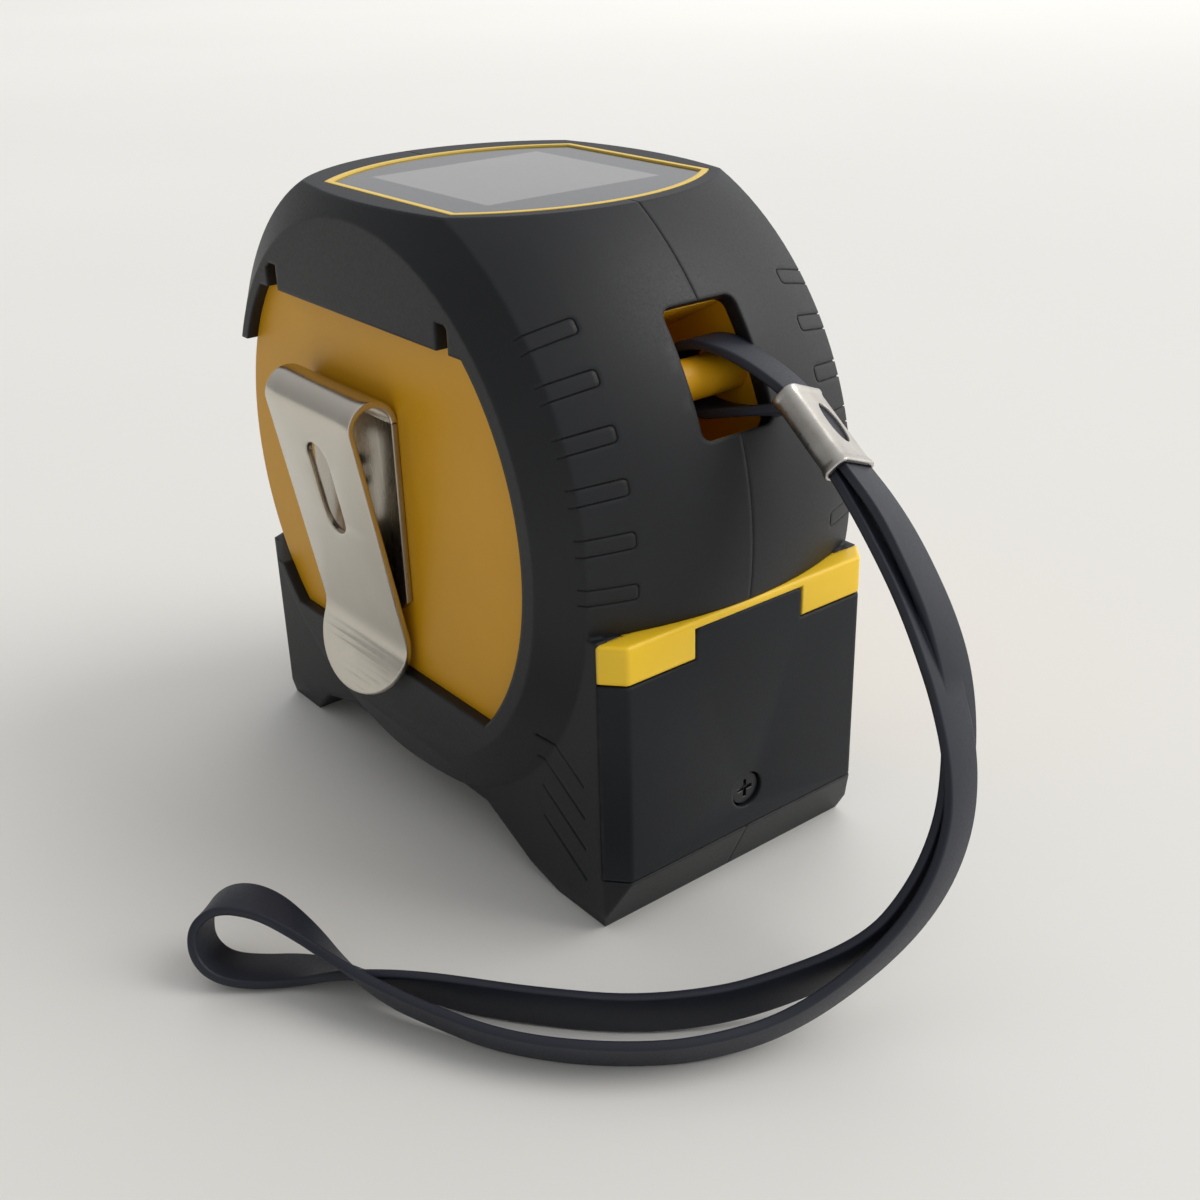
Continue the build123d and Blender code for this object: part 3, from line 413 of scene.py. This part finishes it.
for y in (0.3, 3.5):
    for k in range(n_ell):
        a = 2 * math.pi * k / n_ell
        f_ = 1.0 if y < 1 else 1.28
        cv.append(crimp_point(0.6 + 1.15 * f_ * math.cos(a), y, -0.3 + 2.55 * f_ * math.sin(a)))
cf = [(k, (k + 1) % n_ell, n_ell + (k + 1) % n_ell, n_ell + k) for k in range(n_ell)]
cf += [tuple(reversed(range(n_ell))), tuple(range(n_ell, 2 * n_ell))]
cutter = add_mesh("crimp_cutter", cv, cf, MAT["crimp"], smooth=False)
bmx = bmesh.new(); bmx.from_mesh(cutter.data); bmesh.ops.recalc_face_normals(bmx, faces=bmx.faces); bmx.to_mesh(cutter.data); bmx.free()
bo = crimp.modifiers.new("hole", "BOOLEAN")
bo.operation = "DIFFERENCE"
bo.solver = "EXACT"
bo.object = cutter
bpy.context.view_layer.update()
cut_me = bpy.data.meshes.new_from_object(crimp.evaluated_get(bpy.context.evaluated_depsgraph_get()))
crimp.modifiers.clear()
crimp.data = cut_me
crimp.data.shade_smooth()
bpy.data.objects.remove(cutter)
es = crimp.modifiers.new("sharp", "EDGE_SPLIT")
es.split_angle = math.radians(35)
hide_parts("strap_crimp")
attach(crimp, "case")

# ------------------------------------------------------------------ belt clip
CLIP_X0, CLIP_X1, CLIP_T = 37.5, 58.0, 0.9
Y_IN, BEND_R, BZ = 22.05, 3.42, 54.8
BY = Y_IN + BEND_R
LEANL, HEEL_Z, FLARE, TIP_Z = 0.178, 24.5, 0.46, 16.6
rm = BEND_R - CLIP_T / 2
# centre line of the sheet in the y-z plane, from the foot of the bend over the top and down the outer leg
prof = []
for k in range(0, 25):
    a = math.pi - math.pi * k / 24
    prof.append((BY + rm * math.cos(a), BZ + rm * math.sin(a)))
y_mid = BY + rm
a_lean = math.atan(LEANL)
z = BZ
n_leg = 10
for k in range(1, n_leg + 1):
    zz = BZ - (BZ - HEEL_Z - 1.6) * k / n_leg
    prof.append((y_mid - LEANL * (BZ - zz) , zz))
# heel: a small smooth bend from the lean to the flare
hy, hz = prof[-1]
a0 = math.atan2(-LEANL, -1.0)
d0 = Vector((-LEANL, -1.0)).normalized()
d1 = Vector((FLARE, -1.0)).normalized()
steps = 8
pp = Vector((hy, hz))
for k in range(1, steps + 1):
    d = d0.lerp(d1, k / steps).normalized()
    pp = pp + d * 0.42
    prof.append((pp.x, pp.y))
while pp.y > TIP_Z - 0.02:
    pp = pp + d1 * 0.5
    prof.append((pp.x, pp.y))
prof = [Vector(q) for q in prof]
arc = [0.0]
for a, b in zip(prof, prof[1:]):
    arc.append(arc[-1] + (b - a).length)
S_END = arc[-1]


def at_s(s):
    s = max(0.0, min(S_END, s))
    i = int(np.searchsorted(arc, s) - 1)
    i = max(0, min(len(prof) - 2, i))
    f = (s - arc[i]) / (arc[i + 1] - arc[i])

    def tan(j):
        j0, j1 = max(0, j - 1), min(len(prof) - 1, j + 1)
        return (prof[j1] - prof[j0]).normalized()
    c = prof[i].lerp(prof[i + 1], f)
    t = tan(i).lerp(tan(i + 1), f).normalized()
    return c, Vector((-t.y, t.x))


def s_of_z(zv):
    for i in range(25, len(prof) - 1):
        if prof[i].y >= zv >= prof[i + 1].y:
            return arc[i] + (prof[i].y - zv) / (prof[i].y - prof[i + 1].y) * (arc[i + 1] - arc[i])
    return S_END


def sheet_piece(name, outline, holes, thick, bevel, mapper, cuts, mat):
    cu = bpy.data.curves.new(name + "_c", "CURVE")
    cu.dimensions = "2D"
    cu.fill_mode = "BOTH"
    cu.extrude = thick / 2 - bevel
    cu.bevel_depth = bevel
    cu.bevel_resolution = 2
    for loop in [outline] + holes:
        sp = cu.splines.new("POLY")
        sp.points.add(len(loop) - 1)
        for q, (a, b) in zip(sp.points, loop):
            q.co = (a, b, 0, 1)
        sp.use_cyclic_u = True
    ob = bpy.data.objects.new(name + "_c", cu)
    bpy.context.scene.collection.objects.link(ob)
    bpy.context.view_layer.update()
    me = bpy.data.meshes.new_from_object(ob)
    bm = bmesh.new()
    bm.from_mesh(me)
    bmesh.ops.remove_doubles(bm, verts=bm.verts, dist=0.002)
    for cpos in cuts:
        bmesh.ops.bisect_plane(bm, geom=bm.verts[:] + bm.edges[:] + bm.faces[:], plane_co=(0, cpos, 0), plane_no=(0, 1, 0), dist=0.0005)
    bmesh.ops.remove_doubles(bm, verts=bm.verts, dist=0.002)
    for v in bm.verts:
        v.co = mapper(v.co.x, v.co.y, v.co.z)
    bmesh.ops.recalc_face_normals(bm, faces=bm.faces)
    me2 = bpy.data.meshes.new(name)
    bm.to_mesh(me2)
    bm.free()
    bpy.data.meshes.remove(me)
    bpy.data.objects.remove(ob)
    bpy.data.curves.remove(cu)
    me2.shade_smooth()
    me2.materials.append(mat)
    o = bpy.data.objects.new(name, me2)
    bpy.context.scene.collection.objects.link(o)
    es = o.modifiers.new("sharp", "EDGE_SPLIT")
    es.split_angle = math.radians(40)
    return o


bev = 0.16
cx0, cx1 = CLIP_X0 + bev, CLIP_X1 - bev
cm, hw = (CLIP_X0 + CLIP_X1) / 2, (CLIP_X1 - CLIP_X0) / 2 - bev
s_h = s_of_z(HEEL_Z - 0.6)
outline = [(cx0, bev), (cx1, bev), (cx1, s_h)]
L_t = S_END - bev - s_h
for k in range(1, 24):
    a = math.pi * k / 24
    outline.append((cm + hw * math.cos(a), s_h + L_t * math.sin(a)))
outline.append((cx0, s_h))
s1, s2, rs = s_of_z(48.6), s_of_z(41.2), 2.6 + bev
hole = [(cm + rs * math.cos(a), s1 + rs * math.sin(a)) for a in [math.pi + math.pi * k / 14 for k in range(15)]]
hole += [(cm + rs * math.cos(a), s2 + rs * math.sin(a)) for a in [math.pi * k / 14 for k in range(15)]]


def map_clip(x, s, t):
    c, n_ = at_s(s)
    return loc(x, c.x + n_.x * t, c.y + n_.y * t)


cuts = [arc[i] for i in range(1, 25)] + [arc[24] + 2.0 * k for k in range(1, 40) if arc[24] + 2.0 * k < s_h - 2]
cuts += [s_h - 2 + 0.4 * k for k in range(0, 14)] + [s_h + 4.0, s_h + 5.0, s_h + 6.0, s_h + 7.0]
clip = sheet_piece("clip_sheet", outline, [hole], CLIP_T, bev, map_clip, cuts, MAT["nickel"])
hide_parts("clip_spring_leg")
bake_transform(clip)


def map_leg(x, s, t):
    return loc(x, Y_IN + CLIP_T / 2 + t, s)


leg_out = [(cx0, BZ), (cx0, 31.5), (cx0 + 1.5, 30 + bev), (cx1 - 1.5, 30 + bev), (cx1, 31.5), (cx1, BZ)]
leg_hole = [(47.75 + 1.5 * math.cos(a), 46.0 + 1.5 * math.sin(a)) for a in [2 * math.pi * k / 24 for k in range(24)]]
# the fixed leg uses the darker nickel copy, painted shade
leg = sheet_piece("clip_fixed_leg", leg_out, [leg_hole], CLIP_T, bev, map_leg, [], MAT["nickel_shaded"])
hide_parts("clip_base")
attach(leg, "case")

# ------------------------------------------------------------------ floor, light
fl_mat = make("floor", (0.74, 0.73, 0.70), (0.76, 0.75, 0.72), 0.55, 0.65, grain=300, grain_h=0.00001, blotch=3, bevel=0, bump=0.05)
floor = add_mesh("floor", [(-4, -4, 0), (4, -4, 0), (4, 4, 0), (-4, 4, 0)], [(0, 1, 2, 3)], fl_mat)


def area(name, pos, target, size, power, col=(1, 1, 1), size_y=None):
    d = bpy.data.lights.new(name, "AREA")
    d.energy = power
    d.color = col
    d.size = size
    if size_y:
        d.shape = "RECTANGLE"
        d.size_y = size_y
    o = bpy.data.objects.new(name, d)
    bpy.context.scene.collection.objects.link(o)
    o.location = pos
    o.rotation_euler = (Vector(target) - Vector(pos)).to_track_quat("-Z", "Y").to_euler()
    return o


def sun(name, direction, strength, angle, col):
    d = bpy.data.lights.new(name, "SUN")
    d.energy = strength
    d.angle = math.radians(angle)
    d.color = col
    o = bpy.data.objects.new(name, d)
    bpy.context.scene.collection.objects.link(o)
    o.rotation_euler = Vector(direction).to_track_quat("-Z", "Y").to_euler()
    return o


sun("window_light", (0.50, 0.62, -0.72), 1.12, 38.0, (1.0, 0.985, 0.95))
back = area("back_right", (0.9, -1.3, 0.9), (0.2, -0.1, 0.0), 1.2, 6.0, (1.0, 0.99, 0.97))
far = area("far_floor", (2.0, -0.9, 1.6), (1.6, -0.8, 0.0), 1.6, 5.0, (1.0, 0.995, 0.985))
far.visible_glossy = False
back.visible_glossy = False
world = bpy.data.worlds.new("world")
bpy.context.scene.world = world
world.use_nodes = True
wt = world.node_tree
bg = wt.nodes["Background"]
wtc = wt.nodes.new("ShaderNodeTexCoord")
wd = wt.nodes.new("ShaderNodeVectorMath")
wd.operation = "DOT_PRODUCT"
wd.inputs[1].default_value = (-0.30, -0.85, 0.30)
wt.links.new(wtc.outputs["Generated"], wd.inputs[0])
wcol = mixcol(wt, remap(wt, wd.outputs["Value"], -0.95, 0.60, 0.0, 1.0), (0.27, 0.27, 0.27), (0.74, 0.745, 0.76))
wcol = mixcol(wt, remap(wt, wd.outputs["Value"], 0.62, 0.95, 0.0, 1.0), wcol, (1.55, 1.53, 1.50))
wt.links.new(wcol, bg.inputs["Color"])
bg.inputs["Strength"].default_value = 1.0
bpy.context.scene.view_settings.view_transform = "Standard"
